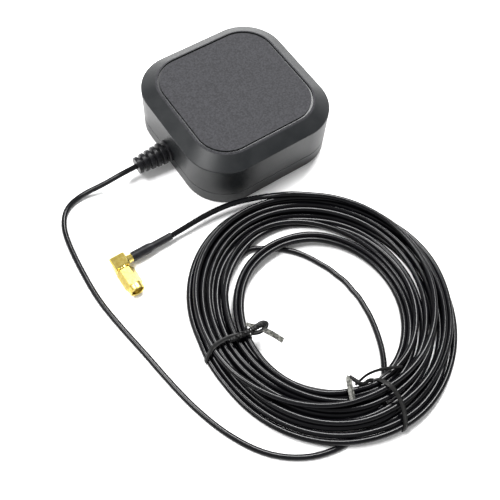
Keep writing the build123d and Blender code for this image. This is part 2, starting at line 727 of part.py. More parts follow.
# Its places along the mating direction
nut_start = block_front + COLLAR + NUT_GAP
nut_hex_end = nut_start + NUT_HEX
nut_end = nut_hex_end + NUT_FRONT
neck_end = nut_start + NECK_IN_NUT
ring_at = neck_end - RING_BACK
groove_start = ring_at - RING_PLAY
groove_width = RING_WIDTH + 2 * RING_PLAY
ferrule_end = neck_end + FERRULE
contact_end = ferrule_end + CONTACT_PROUD

# Its places along the lead
stem_end = block_side + STEM
braid_start = block_side + STEM_FLANGE
jacket_start = stem_end + JACKET_GAP
crimp_end = jacket_start + CRIMP_OVER_JACKET
sleeve_start = block_side + SLEEVE_GAP
sleeve_step = crimp_end + SLEEVE_OVER_CRIMP
sleeve_step_end = sleeve_step + SLEEVE_STEP
sleeve_end = sleeve_step_end + SLEEVE_NARROW


def connector_body():
    """The angled body: block, grooved neck, ferrule and crimp stem, bored both ways."""
    body = Box(BLOCK_WIDTH, block_height, BLOCK_LENGTH)
    body = chamfer(body.edges(), BLOCK_EDGE)
    body += disc(neck_r + COLLAR_STEP, block_front, COLLAR)
    body += disc(neck_r, block_front, neck_end - block_front)
    body += disc(ferrule_r, neck_end, FERRULE)
    groove = disc(neck_r + OVERCUT, groove_start, groove_width)
    body -= groove - disc(ring_inner_r - RING_PLAY, groove_start, groove_width)
    stem = disc(stem_r, block_side - STEM_ROOT, STEM + STEM_ROOT)
    stem += disc(stem_r + STEM_FLANGE_STEP, block_side - STEM_ROOT, STEM_FLANGE + STEM_ROOT)
    body += side_port * stem
    body -= disc(cavity_r, CAP_THICK - block_front, ferrule_end + block_front)
    body -= disc(cap_r + FIT, -block_front, CAP_THICK)
    return body - side_port * disc(core_r + FIT, 0, stem_end)


def ring_with_gap():
    """The open snap ring that keeps the nut on the neck."""
    ring = disc(ring_outer_r, ring_at, RING_WIDTH) - disc(ring_inner_r, ring_at, RING_WIDTH)
    half = radians(RING_GAP_ANGLE / 2)
    far = (ring_outer_r + OVERCUT) * cos(half)
    wide = (ring_outer_r + OVERCUT) * sin(half)
    wedge = make_face(Polyline((0, 0), (far, wide), (far, -wide), close=True))
    return ring - extrude(Pos(0, 0, ring_at) * wedge, RING_WIDTH)


def coupling_nut():
    """The nut: a hexagon with turned ends, a round front, a running bore and a ring groove."""
    flats_r = NUT_FLATS / 2
    corner_r = flats_r / cos(pi / 6)
    rise = (corner_r - flats_r) * tan(pi / 6)
    hexagon = RegularPolygon(flats_r, 6, major_radius=False)
    form = extrude(Pos(0, 0, nut_start) * hexagon, NUT_HEX)
    turned = [
        (0, nut_start),
        (flats_r, nut_start),
        (corner_r, nut_start + rise),
        (corner_r, nut_hex_end - 2 * rise),
        (flats_r, nut_hex_end),
        (0, nut_hex_end),
    ]
    form &= revolved(turned, Plane.XY)
    front = disc(flats_r - NUT_FRONT_STEP, nut_hex_end, NUT_FRONT)
    form += chamfer(front.edges().sort_by(Axis.Z)[-1], NUT_BEVEL)
    form -= disc(neck_r + NUT_CLEAR, nut_start, NECK_IN_NUT + GASKET)
    form -= disc(nut_thread_r, nut_start, nut_end - nut_start)
    mouth = [
        (0, nut_end),
        (nut_thread_r + NUT_BEVEL, nut_end),
        (nut_thread_r, nut_end - NUT_BEVEL),
        (0, nut_end - NUT_BEVEL),
    ]
    form -= revolved(mouth, Plane.XY)
    return form - disc(ring_outer_r + NUT_CLEAR, groove_start, groove_width)


save(plug * connector_body(), "connector_body")
save(plug * coupling_nut(), "coupling_nut")
save(plug * ring_with_gap(), "retaining_ring")
gasket = disc(nut_thread_r - GASKET_CLEAR, neck_end, GASKET) - disc(ferrule_r + FIT, neck_end, GASKET)
save(plug * gasket, "nut_gasket")
insulator_length = ferrule_end - INSULATOR_START
insulator = disc(cavity_r - FIT, INSULATOR_START, insulator_length)
insulator -= disc(CONTACT_R + FIT, INSULATOR_START, insulator_length)
save(plug * insulator, "connector_insulator")
contact = disc(CONTACT_R, -CONTACT_BACK, contact_end + CONTACT_BACK)
contact = chamfer(contact.edges().sort_by(Axis.Z)[-1], CONTACT_TIP)
contact -= side_port * disc(WIRE_R + WIRE_SLOT_CLEAR, -CONTACT_R, 2 * CONTACT_R)
save(plug * contact, "center_pin")
save(plug * disc(cap_r, -block_front, CAP_THICK), "rear_cap")

wire = side_port * disc(WIRE_R, -CONTACT_R, jacket_start + CONTACT_R)
save(plug * wire, "plug_wire")
core_start = CONTACT_R + WIRE_R
core = side_port * disc(core_r, core_start, jacket_start - core_start)
save(plug * (core - wire), "plug_insulation")
braid = disc(flared_braid_r, braid_start, jacket_start - braid_start)
braid -= disc(stem_r + FIT, braid_start, stem_end + FIT - braid_start)
braid -= disc(core_r + FIT, braid_start, jacket_start - braid_start)
save(plug * (side_port * braid), "plug_braid")
crimp = disc(crimp_r, braid_start, crimp_end - braid_start)
crimp -= disc(flared_braid_r + FIT, braid_start, crimp_end - braid_start)
save(plug * (side_port * crimp), "crimp_ferrule")
save(plug * (side_port * disc(CABLE_R, jacket_start, sleeve_end - jacket_start)), "plug_jacket")


def shrink_sleeve():
    """The shrunk sleeve: wide over the ferrule, then narrow on the lead."""
    wide = crimp_r + FIT
    narrow = CABLE_R + FIT
    outline = [
        (wide, sleeve_start),
        (wide + SLEEVE_WALL, sleeve_start),
        (wide + SLEEVE_WALL, sleeve_step),
        (narrow + SLEEVE_WALL, sleeve_step_end),
        (narrow + SLEEVE_WALL, sleeve_end),
        (narrow, sleeve_end),
        (narrow, sleeve_step_end - SLEEVE_WALL),
        (wide, sleeve_step - SLEEVE_WALL / 2),
    ]
    return revolved(outline, Plane.XY)


save(plug * (side_port * shrink_sleeve()), "heat_shrink_sleeve")
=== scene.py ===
from math import cos, pi, radians, sin

import bpy
import numpy as np
from mathutils import Matrix, Vector


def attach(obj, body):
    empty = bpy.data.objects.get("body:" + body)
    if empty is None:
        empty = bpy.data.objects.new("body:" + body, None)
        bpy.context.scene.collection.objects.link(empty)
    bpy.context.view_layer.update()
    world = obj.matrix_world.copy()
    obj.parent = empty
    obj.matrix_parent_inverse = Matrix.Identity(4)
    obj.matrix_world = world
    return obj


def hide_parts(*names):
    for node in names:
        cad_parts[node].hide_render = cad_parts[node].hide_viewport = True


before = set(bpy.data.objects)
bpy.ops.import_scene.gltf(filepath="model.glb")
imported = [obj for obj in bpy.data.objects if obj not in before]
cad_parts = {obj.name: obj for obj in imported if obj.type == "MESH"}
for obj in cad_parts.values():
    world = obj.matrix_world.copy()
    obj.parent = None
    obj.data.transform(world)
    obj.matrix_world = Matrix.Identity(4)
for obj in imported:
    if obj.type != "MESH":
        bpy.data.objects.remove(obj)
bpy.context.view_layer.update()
MM = 0.001

# Cover: a moulded black plastic shell. Its flat top is spark-eroded in the mould, so it looks
# matt and grainy, while the shoulder and walls are smoother and pick up soft reflections.
TEXTURED_ABOVE = 31.5 * MM
TEXTURED_BLEND = 0.1 * MM
TEXTURE_GRAIN = 0.32 * MM
TEXTURE_SPECK = 0.9 * MM
TEXTURE_DEPTH = 0.035 * MM
TEXTURED_ROUGHNESS = 0.8
SATIN_ROUGHNESS = 0.34
SATIN_CLOUD = 9 * MM
COVER_BLACK = (0.003, 0.004, 0.005, 1.0)
COVER_GREY = (0.007, 0.008, 0.009, 1.0)
COVER_TOP_DARK = (0.009, 0.009, 0.011, 1.0)
COVER_TOP_LIGHT = (0.025, 0.025, 0.029, 1.0)


class Signal:
    """A shader socket that Python expressions can use."""

    def __init__(self, tree, socket=None):
        self.tree = tree
        self.socket = socket

    def node(self, kind, settings=None, inputs=None, output=0):
        """Add a node: its settings first, then the values or links of its sockets."""
        made = self.tree.nodes.new("ShaderNode" + kind)
        for name, value in (settings or {}).items():
            if name == "stops":
                ramp = made.color_ramp.elements
                while len(ramp) < len(value):
                    ramp.new(0.5)
                for element, (place, colour) in zip(ramp, value):
                    element.position = place
                    element.color = colour
            else:
                setattr(made, name, value)
        for name, value in (inputs or {}).items():
            if isinstance(value, Signal):
                self.tree.links.new(value.socket, made.inputs[name])
            else:
                made.inputs[name].default_value = value
        return Signal(self.tree, made.outputs[output])

    def math(self, operation, first, second):
        return self.node("Math", {"operation": operation}, {0: first, 1: second})

    def __add__(self, other):
        return self.math("ADD", self, other)

    def __sub__(self, other):
        return self.math("SUBTRACT", self, other)

    def __rsub__(self, other):
        return self.math("SUBTRACT", other, self)

    def __mul__(self, other):
        return self.math("MULTIPLY", self, other)

    __radd__ = __add__
    __rmul__ = __mul__

    def between(self, low, high):
        """0 below low, 1 above high and smooth from one to the other."""
        inputs = {"Value": self, "From Min": low, "From Max": high}
        return self.node("MapRange", {"interpolation_type": "SMOOTHSTEP"}, inputs)

    def noise(self, size, detail=2.0, roughness=0.5):
        """Noise from 0 to 1 over this vector, with spots of about this size in metres."""
        inputs = {"Vector": self, "Scale": 1 / size, "Detail": detail, "Roughness": roughness}
        return self.node("TexNoise", {}, inputs)

    def colours(self, low, high):
        """A colour that goes from low to high with this value."""
        return self.node("Mix", {"data_type": "RGBA"}, {0: self, 6: low, 7: high}, 2)


class Finish:
    """A material with one main shader, and the object's own place as a signal."""

    def __init__(self, name, **plain):
        self.material = bpy.data.materials.new(name)
        self.material.use_nodes = True
        self.tree = self.material.node_tree
        self.shader = self.tree.nodes["Principled BSDF"]
        self.place = Signal(self.tree).node("TexCoord", {}, {}, 3)
        self.height = self.place.node("SeparateXYZ", {}, {0: self.place}, 2)
        for name, value in plain.items():
            self.set(name.replace("_", " "), value)

    def set(self, name, value):
        """Set or link one socket of the main shader."""
        if isinstance(value, Signal):
            self.tree.links.new(value.socket, self.shader.inputs[name])
        else:
            self.shader.inputs[name].default_value = value

    def bump(self, height, depth, strength=1.0):
        """Raise the surface by a height signal times depth in metres."""
        inputs = {"Height": height, "Distance": depth, "Strength": strength}
        self.set("Normal", self.place.node("Bump", {}, inputs))

    def wear(self, *nodes):
        """Put this finish on CAD nodes or other objects."""
        for node in nodes:
            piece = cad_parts[node] if isinstance(node, str) else node
            if not piece.material_slots:
                piece.data.materials.append(self.material)
            for slot in piece.material_slots:
                slot.material = self.material


def moulded(name, dark, light, top_dark=None, top_light=None):
    """Black moulded plastic, with a spark-eroded finish on its top where that is given."""
    finish = Finish(name, Specular_IOR_Level=0.37)
    cloud = finish.place.noise(SATIN_CLOUD, 3.0)
    grain = finish.place.noise(TEXTURE_GRAIN, 2.0, 0.65)
    speck = finish.place.noise(TEXTURE_SPECK, 3.0, 0.6)
    tone = cloud.between(0.35, 0.65).colours(dark, light)
    satin = SATIN_ROUGHNESS + 0.1 * speck
    if top_dark is None:
        finish.set("Base Color", tone)
        finish.set("Roughness", satin)
        finish.bump(grain, 0.004 * MM, 0.5)
        return finish
    top = finish.height.between(TEXTURED_ABOVE, TEXTURED_ABOVE + TEXTURED_BLEND)
    top_tone = speck.between(0.3, 0.7).colours(top_dark, top_light)
    finish.set("Base Color", top.colours(tone, top_tone))
    finish.set("Roughness", satin + top * (TEXTURED_ROUGHNESS - satin))
    finish.bump(grain * (0.25 + top * 0.75), TEXTURE_DEPTH, 0.8)
    return finish


cover_plastic = moulded("cover_plastic", COVER_BLACK, COVER_GREY, COVER_TOP_DARK, COVER_TOP_LIGHT)
cover_plastic.wear("top_cover")

# Base: the shallow tray under the cover, moulded of the same plastic in a slightly lighter
# shade. Four steel screws from below pull it against the cover, with a rubber seal between.
BASE_BLACK = (0.008, 0.009, 0.010, 1.0)
BASE_GREY = (0.014, 0.015, 0.016, 1.0)
SEAL_DARK = (0.020, 0.020, 0.021, 1.0)
SEAL_LIGHT = (0.034, 0.034, 0.035, 1.0)

base_plastic = moulded("base_plastic", BASE_BLACK, BASE_GREY)
base_plastic.wear("base_plate")


def plain_finish(name, low, high, spot, roughness, spread, depth, **plain):
    """A finish that varies between two colours, with a fine uneven surface."""
    finish = Finish(name, **plain)
    cloud = finish.place.noise(spot, 3.0, 0.6)
    fine = finish.place.noise(spot / 9, 2.0, 0.6)
    finish.set("Base Color", cloud.between(0.3, 0.7).colours(low, high))
    finish.set("Roughness", roughness + spread * (fine - 0.5))
    finish.bump(fine, depth)
    return finish


seal_rubber = plain_finish(
    "seal_rubber", SEAL_DARK, SEAL_LIGHT,
    spot=3 * MM, roughness=0.7, spread=0.2, depth=0.01 * MM,
)
seal_rubber.wear("sealing_ring")
screw_steel = plain_finish(
    "screw_steel", (0.42, 0.42, 0.43, 1), (0.6, 0.6, 0.6, 1),
    spot=1.2 * MM, roughness=0.34, spread=0.3, depth=0.006 * MM, Metallic=1.0,
)
screw_steel.wear("cover_screws", "board_screws")

# Magnets: four sintered discs with a bright nickel plating. They are pressed into cups in the
# base and hold the housing on a steel roof.
magnet_nickel = plain_finish(
    "magnet_nickel", (0.6, 0.58, 0.54, 1), (0.75, 0.73, 0.7, 1),
    spot=4 * MM, roughness=0.2, spread=0.15, depth=0.003 * MM, Metallic=1.0,
)
magnet_nickel.wear("magnets")

# Circuit board: green glass-fibre laminate, screwed down inside the housing. The amplifier's
# chips, filters and small parts are soldered under it inside a tin can, next to the braid's clip.
board_laminate = plain_finish(
    "board_laminate", (0.01, 0.09, 0.03, 1), (0.02, 0.14, 0.05, 1),
    spot=5 * MM, roughness=0.32, spread=0.15, depth=0.01 * MM,
)
board_laminate.wear("circuit_board")
shield_tin = plain_finish(
    "shield_tin", (0.5, 0.5, 0.51, 1), (0.68, 0.68, 0.68, 1),
    spot=6 * MM, roughness=0.36, spread=0.2, depth=0.008 * MM, Metallic=1.0,
)
shield_tin.wear("shield_can", "braid_clip")
chip_plastic = plain_finish(
    "chip_plastic", (0.01, 0.01, 0.01, 1), (0.025, 0.025, 0.025, 1),
    spot=0.8 * MM, roughness=0.6, spread=0.2, depth=0.01 * MM,
)
chip_plastic.wear("amplifier_chips")
filter_ceramic = plain_finish(
    "filter_ceramic", (0.5, 0.42, 0.28, 1), (0.66, 0.58, 0.4, 1),
    spot=1 * MM, roughness=0.55, spread=0.2, depth=0.01 * MM,
)
filter_ceramic.wear("signal_filters", "board_passives")

# Patches: two blocks of fired ceramic, one on the other, that receive the signal. Each is held
# by foam tape and has a silver face burnt onto it, with a tinned pin soldered through it.
patch_ceramic = plain_finish(
    "patch_ceramic", (0.55, 0.5, 0.42, 1), (0.68, 0.64, 0.56, 1),
    spot=3 * MM, roughness=0.62, spread=0.2, depth=0.03 * MM,
)
patch_ceramic.wear("lower_patch", "upper_patch")
silver_plating = plain_finish(
    "silver_plating", (0.7, 0.7, 0.68, 1), (0.86, 0.86, 0.85, 1),
    spot=5 * MM, roughness=0.42, spread=0.25, depth=0.01 * MM, Metallic=1.0,
)
silver_plating.wear("lower_patch_plating", "upper_patch_plating")
foam_tape = plain_finish(
    "foam_tape", (0.62, 0.62, 0.6, 1), (0.8, 0.8, 0.79, 1),
    spot=1.5 * MM, roughness=0.85, spread=0.2, depth=0.05 * MM,
)
foam_tape.wear("patch_tapes")
tinned_wire = plain_finish(
    "tinned_wire", (0.55, 0.54, 0.52, 1), (0.72, 0.71, 0.69, 1),
    spot=0.9 * MM, roughness=0.35, spread=0.25, depth=0.008 * MM, Metallic=1.0,
)
tinned_wire.wear("feed_pins", "entry_braid", "entry_wire", "plug_braid", "plug_wire")

# Boot: soft black rubber moulded round the lead, with ribs that let it bend. It is clamped in
# the seam of the housing.
boot_rubber = plain_finish(
    "boot_rubber", (0.002, 0.002, 0.003, 1), (0.005, 0.005, 0.006, 1),
    spot=2.5 * MM, roughness=0.36, spread=0.2, depth=0.03 * MM, Specular_IOR_Level=0.2,
)
boot_rubber.wear("strain_relief")

# Lead: about five metres of thin coaxial cable with a satin black jacket, extruded over its
# braid. It runs from the boot round the free side, then counter-clockwise through the coil, and
# out to the plug.
LEAD_D = 2.8
# The faceted tube measures a little less across its flats than the round one
FACET_ALLOWANCE = 1.02
# Points in mm: the free stretch from the boot to the coil, and the tail to the plug
LEAD_POINTS = (
    (-60.9, 0.0, 9.0),
    (-69.0, 0.1, 8.9),
    (-79.5, 1.4, 5.5),
    (-92.0, 4.2, 1.9),
    (-102.6, 1.4, 1.4),
    (-108.9, -8.0, 1.4),
    (-111.4, -22.0, 1.4),
    (-112.6, -38.0, 1.4),
    (-113.0, -54.0, 1.4),
    (-110.9, -71.0, 1.4),
    (-108.0, -88.5, 1.4),
    (-105.6, -106.0, 1.4),
    (-102.4, -123.5, 1.4),
    (-96.5, -142.0, 1.4),
    (-86.8, -158.8, 1.4),
    (-72.2, -170.0, 1.4),
    (-56.4, -174.2, 1.4),
    (-43.5, -173.6, 1.4),
)
TAIL_POINTS = (
    (-15.8, -49.2, 6.5),
    (-26.0, -45.5, 6.5),
    (-36.5, -43.4, 6.2),
    (-46.5, -42.7, 5.6),
    (-56.5, -42.7, 4.6),
    (-66.0, -42.8, 4.0),
)
# The coil: its middle, the control points of one turn, the whole turns, and the plan angles at
# which the lead comes in and goes out
COIL_CENTRE = (-24.0, -113.4)
COIL_STEPS = 48
COIL_TURNS = 14
COIL_START = -97.5
COIL_END = 75.0
# The coil's outer and inner edge, and the inner edge of its main band where a group of inner
# turns stands apart: plan angle in degrees, distance from the centre in mm
OUTER_EDGE = (
    (-170, 63.0), (-150, 66.0), (-134, 70.5), (-115, 72.6), (-95, 72.4), (-75, 71.6), (-50, 69.6),
    (-30, 66.4), (-10, 63.4), (15, 61.8), (35, 59.6), (60, 59.6), (76, 62.6), (92, 67.5),
    (105, 70.0), (120, 70.0), (135, 68.5), (150, 65.0), (165, 62.8),
)
INNER_EDGE = (
    (-175, 39.6), (-130, 42.7), (-97, 45.8), (-65, 42.0), (-19, 35.1), (10, 32.0), (26, 31.2),
    (55, 32.2), (75, 33.6), (94, 34.8), (121, 36.6), (150, 37.0), (173, 39.2),
)
BAND_EDGE = (
    (-175, 39.6), (-130, 42.7), (-97, 45.8), (-65, 42.0), (-19, 35.1), (10, 33.5), (36, 37.6),
    (50, 38.8), (62, 41.0), (75, 45.4), (95, 46.4), (109, 45.8), (126, 45.4), (148, 45.2),
    (165, 42.0), (173, 39.6),
)
# Each turn's lane across the band, from its inner edge at 0 to its outer edge at 1, at five plan
# angles: a row for each turn
LANE_ANGLES = (-97, -10, 40, 100, 150)
LANES = (
    (0.80, 0.92, 1.0, 1.0, 1.0),
    (1.0, 0.98, 0.92, 0.90, 0.84),
    (0.85, 0.79, 0.82, 0.80, 0.68),
    (0.72, 0.68, 0.70, 0.68, 0.52),
    (0.60, 0.57, 0.56, 0.45, 0.34),
    (0.46, 0.40, 0.40, 0.20, 0.12),
    (0.34, 0.36, 0.32, 0.28, 0.22),
    (0.22, 0.22, 0.14, 0.13, 0.06),
    (0.10, 0.10, 0.09, 0.09, 0.10),
    (0.0, 0.0, 0.0, 0.0, 0.0),
    (0.10, 0.28, 0.30, 0.0, 0.0),
    (0.25, 0.52, 0.60, 0.66, 0.42),
    (0.40, 0.70, 0.76, 0.78, 0.64),
    (0.55, 0.84, 0.90, 0.90, 0.84),
    (0.15, 0.85, 1.0, 1.0, 1.0),
)
# The group of inner turns: where it begins and ends, counted in turns, and the plan angle at
# which it stands highest
INNER_GROUP = (7.95, 8.05, 9.95, 10.05)
GROUP_LIFT = 3.2
GROUP_ANGLE = 105.0
# The turns pass over the lead where it comes in under them
ENTRY_ANGLE = -104.0
ENTRY_SPREAD = 16.0
# The loose turn that crosses the coil's open middle: plan angle, distance from the centre
LOOSE_TURN = 5
LOOSE_PATH = (
    (-85, 44.0), (-79, 40.0), (-70.5, 33.7), (-56, 26.6), (-35.5, 21.0), (-6.5, 17.7), (27.6, 18.2),
    (54.7, 22.2), (71.4, 27.9), (82, 32.8), (92, 37.3), (99, 41.8), (106, 47.0),
)
# Where the winding climbs to its next layer, in turns, and its height there in diameters
LAYER_TURNS = (6.7, 6.9, 13.4, 13.8, 14.5)
LAYER_HEIGHTS = (0.5, 1.5, 1.6, 3.2, 3.2)
# Each turn strays from its lane a little, as one wound by hand does
WANDER = 0.05
WANDER_EVERY = 0.3
WANDER_SEED = 11
# Steps of the settling: in each the turns are drawn to their lanes, sink, are smoothed along
# their length and push each other apart, and in the last ones they only come to rest
SETTLING = 340
SETTLED = 80
LANE_FIRMNESS = 0.06
LOOSE_FIRMNESS = 0.6
SINK = 0.05
EASE_SETTLING = 0.3
EASE_SETTLED = 0.06
EASE_HEIGHT = 0.2
# The ties pass under the turns at these plan angles
TIE_ANGLES = (175.0, -95.0)
TIE_REACH = 0.02
TIE_THICK = 0.9
TIE_GAP = 0.05


def around(table, angle):
    """Values from a table of plan angles, read right round the circle."""
    places, values = zip(*table)
    return np.interp(angle, places, values, period=360)


def wound_coil():
    """Every turn's distance from the centre and height, settled on the floor and each other."""
    count = round((COIL_TURNS * 360 + COIL_END - COIL_START) * COIL_STEPS / 360) + 1
    turn = np.arange(count) / COIL_STEPS
    angle = (COIL_START + 360 * turn + 180) % 360 - 180
    outer = around(OUTER_EDGE, angle) - LEAD_D / 2
    inner = around(INNER_EDGE, angle) + LEAD_D / 2
    band = around(BAND_EDGE, angle) + LEAD_D / 2
    grouped = np.interp(turn, INNER_GROUP, (0, 1, 1, 0))
    low = band + grouped * (inner - band)
    knots = np.arange(0, COIL_TURNS + 1, WANDER_EVERY)
    draws = np.random.default_rng(WANDER_SEED).uniform(-1, 1, len(knots))
    wander = np.interp(turn, knots, draws)
    lane_turns = (np.array(LANE_ANGLES) - COIL_START) / 360
    marks = np.add.outer(np.arange(len(LANES)), lane_turns).ravel()
    lane = np.interp(turn, marks, np.ravel(LANES)) + WANDER * wander
    target = low + np.clip(lane, 0, 1) * (outer - low)
    path_angles, path_radii = zip(*LOOSE_PATH)
    loose = np.floor(turn) == LOOSE_TURN
    loose &= (angle >= path_angles[0]) & (angle <= path_angles[-1])
    target[loose] = np.interp(angle[loose], path_angles, path_radii)
    lowest = np.where(loose, 0, low)
    nearness = np.max([np.cos(np.radians(angle - tie)) for tie in TIE_ANGLES], axis=0)
    over_tie = np.clip((nearness - 1) / TIE_REACH + 1.25, 0, 1)
    floor = LEAD_D / 2 + (TIE_THICK + TIE_GAP) * over_tie
    crossing = np.clip(1 - np.abs(angle - ENTRY_ANGLE) / ENTRY_SPREAD, 0, 1) ** 0.5
    floor += LEAD_D * crossing * (turn > 0.5)
    near_group = np.clip(1.4 * np.cos(np.radians(angle - GROUP_ANGLE)), 0, 1)
    floor += GROUP_LIFT * grouped * near_group
    radius = target.copy()
    height = LEAD_D * np.interp(turn, LAYER_TURNS, LAYER_HEIGHTS) + 0.3 * wander
    for step in range(SETTLING + SETTLED):
        firmness = np.where(loose, LOOSE_FIRMNESS, LANE_FIRMNESS if step < SETTLING else 0)
        radius += firmness * (target - radius)
        height -= SINK if step < SETTLING else 0
        ease = EASE_SETTLING if step < SETTLING else EASE_SETTLED
        radius[1:-1] += ease * (radius[:-2] + radius[2:] - 2 * radius[1:-1])
        height[1:-1] += EASE_HEIGHT * (height[:-2] + height[2:] - 2 * height[1:-1])
        for apart in range(COIL_STEPS, count, COIL_STEPS):
            across = radius[apart:] - radius[:-apart]
            above = height[apart:] - height[:-apart]
            gap = np.hypot(across, above) + 0.001
            push = np.clip(LEAD_D - gap, 0, None) / gap / 2
            radius[apart:] += push * across
            radius[:-apart] -= push * across
            height[apart:] += push * above
            height[:-apart] -= push * above
        radius = np.clip(radius, lowest, outer)
        height = np.maximum(height, floor)
    return angle, radius, height


coil_angle, coil_radius, coil_height = wound_coil()
coil_points = np.column_stack((
    COIL_CENTRE[0] + coil_radius * np.cos(np.radians(coil_angle)),
    COIL_CENTRE[1] + coil_radius * np.sin(np.radians(coil_angle)),
    coil_height,
))


def lead_curve(points):
    """The whole lead as one smooth spline through its control points."""
    curve = bpy.data.curves.new("antenna_lead", "CURVE")
    curve.dimensions = "3D"
    spline = curve.splines.new("NURBS")
    spline.points.add(len(points) - 1)
    for control, place in zip(spline.points, points):
        control.co = (*(float(value) * MM for value in place), 1)
    spline.order_u = 3
    spline.use_endpoint_u = True
    spline.resolution_u = 5
    curve.bevel_depth = LEAD_D / 2 * FACET_ALLOWANCE * MM
    curve.bevel_resolution = 4
    piece = bpy.data.objects.new("antenna_lead", curve)
    bpy.context.scene.collection.objects.link(piece)
    return piece


lead = lead_curve([*LEAD_POINTS, *coil_points, *TAIL_POINTS])
JACKET_BLACK = (0.0015, 0.0015, 0.002, 1.0)
JACKET_GREY = (0.003, 0.003, 0.004, 1.0)
cable_jacket = Finish("cable_jacket", Specular_IOR_Level=0.18)
jacket_fine = cable_jacket.place.noise(0.7 * MM, 2.0, 0.6)
jacket_cloud = cable_jacket.place.noise(14 * MM, 2.0)
cable_jacket.set("Base Color", jacket_cloud.between(0.3, 0.7).colours(JACKET_BLACK, JACKET_GREY))
cable_jacket.set("Roughness", 0.15 + 0.08 * jacket_fine + 0.05 * jacket_cloud)
cable_jacket.bump(jacket_fine, 0.006 * MM, 0.6)
cable_jacket.wear(lead, "entry_jacket", "plug_jacket")
cable_insulation = plain_finish(
    "cable_insulation", (0.7, 0.7, 0.68, 1), (0.82, 0.82, 0.8, 1),
    spot=2 * MM, roughness=0.4, spread=0.1, depth=0.005 * MM,
)
cable_insulation.wear("entry_insulation", "plug_insulation")
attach(lead, "antenna")
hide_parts("cable_lead", "cable_coil", "cable_inner_turn", "cable_tail")

# Ties: two steel wires with a flat black plastic coating, thicker along the wire in its middle.
# Each goes round all the coil's turns once, its ends are twisted together, and the tips stick
# out; the flat tips are coloured a lighter speckled grey, a painted sheen.
TIE_BAND_WIDTH = 2.0
TIE_BAND_STEPS = 72
TIE_BAND_SLACK = 0.5
# The corners of the coating's section, in half widths and half thicknesses
TIE_SECTION = (
    (-1.0, 0.4), (-0.4, 0.5), (0.0, 1.0), (0.4, 0.5), (1.0, 0.4),
    (1.0, -0.4), (0.4, -0.5), (0.0, -1.0), (-0.4, -0.5), (-1.0, -0.4),
)


def eased(points, steps=10, passes=24):
    """Given points as a dense, rounded line."""
    points = np.array(points, float)
    marks = np.linspace(0, len(points) - 1, steps * (len(points) - 1) + 1)
    dense = np.column_stack([np.interp(marks, np.arange(len(points)), axis) for axis in points.T])
    for _ in range(passes):
        dense[1:-1] = (dense[:-2] + 2 * dense[1:-1] + dense[2:]) / 4
    return dense


def mesh_piece(name, rows, closed_along=False):
    """A mesh through rows of points in mm, with its ends filled where it isn't closed."""
    count = len(rows[0])
    mesh = bpy.data.meshes.new(name)
    points = [[float(value) * MM for value in point] for row in rows for point in row]
    faces = []
    for row in range(len(rows) if closed_along else len(rows) - 1):
        following = (row + 1) % len(rows)
        for side in range(count):
            beside = (side + 1) % count
            here = row * count
            there = following * count
            faces.append((here + side, here + beside, there + beside, there + side))
    if not closed_along:
        faces.append(tuple(reversed(range(count))))
        faces.append(tuple(range((len(rows) - 1) * count, len(rows) * count)))
    mesh.from_pydata(points, [], faces)
    mesh.polygons.foreach_set("use_smooth", [True] * len(faces))
    mesh.set_sharp_from_angle(angle=radians(40))
    piece = bpy.data.objects.new(name, mesh)
    bpy.context.scene.collection.objects.link(piece)
    return piece


def ribbon(name, path, across, width, closed=False):
    """A flat tie along a path. across gives the direction of its width at each point."""
    ahead = np.roll(path, -1, 0) - np.roll(path, 1, 0)
    if not closed:
        ahead = np.gradient(path, axis=0)
    ahead /= np.linalg.norm(ahead, axis=1)[:, None]
    up = np.cross(ahead, across)
    up /= np.linalg.norm(up, axis=1)[:, None]
    side = np.cross(up, ahead)
    rows = []
    for place, wide, high in zip(path, side * width / 2, up * TIE_THICK / 2):
        rows.append([place + wide * out + high * above for out, above in TIE_SECTION])
    return mesh_piece(name, rows, closed)


def tie_band(name, angle, lean):
    """A tie's closed band round all the turns at one plan angle, its top leaning along them."""
    offset = (coil_angle - angle + 180) % 360 - 180
    here = np.abs(offset) <= 360 / COIL_STEPS
    strands = np.column_stack((coil_radius[here], coil_height[here]))
    outward = np.array((cos(radians(angle)), sin(radians(angle)), 0))
    along = np.array((-sin(radians(angle)), cos(radians(angle)), 0))
    corners = []
    for turn in range(0, 360, 6):
        direction = np.array((cos(radians(turn)), sin(radians(turn))))
        furthest = strands[np.argmax(strands @ direction)]
        corners.append(furthest + direction * (LEAD_D / 2 + TIE_THICK / 2))
    corners = np.array([*corners, corners[0]])
    walked = np.append(0, np.cumsum(np.hypot(*np.diff(corners, axis=0).T)))
    marks = np.linspace(0, walked[-1], TIE_BAND_STEPS, endpoint=False)
    reach, height = (np.interp(marks, walked, axis) for axis in corners.T)
    middle = (reach.max() + reach.min()) / 2
    span = (reach.max() - reach.min()) / 2
    arch = np.clip(1 - ((reach - middle) / span) ** 2, 0, 1) * (height > height.mean())
    path = (*COIL_CENTRE, 0) + np.outer(reach, outward) + np.outer(arch * lean, along)
    path[:, 2] = height + TIE_BAND_SLACK * arch
    for _ in range(4):
        path = (np.roll(path, 1, 0) + 2 * path + np.roll(path, -1, 0)) / 4
    path[:, 2] = np.maximum(path[:, 2], TIE_THICK / 2)
    return ribbon(name, path, np.tile(along, (len(path), 1)), TIE_BAND_WIDTH, closed=True)


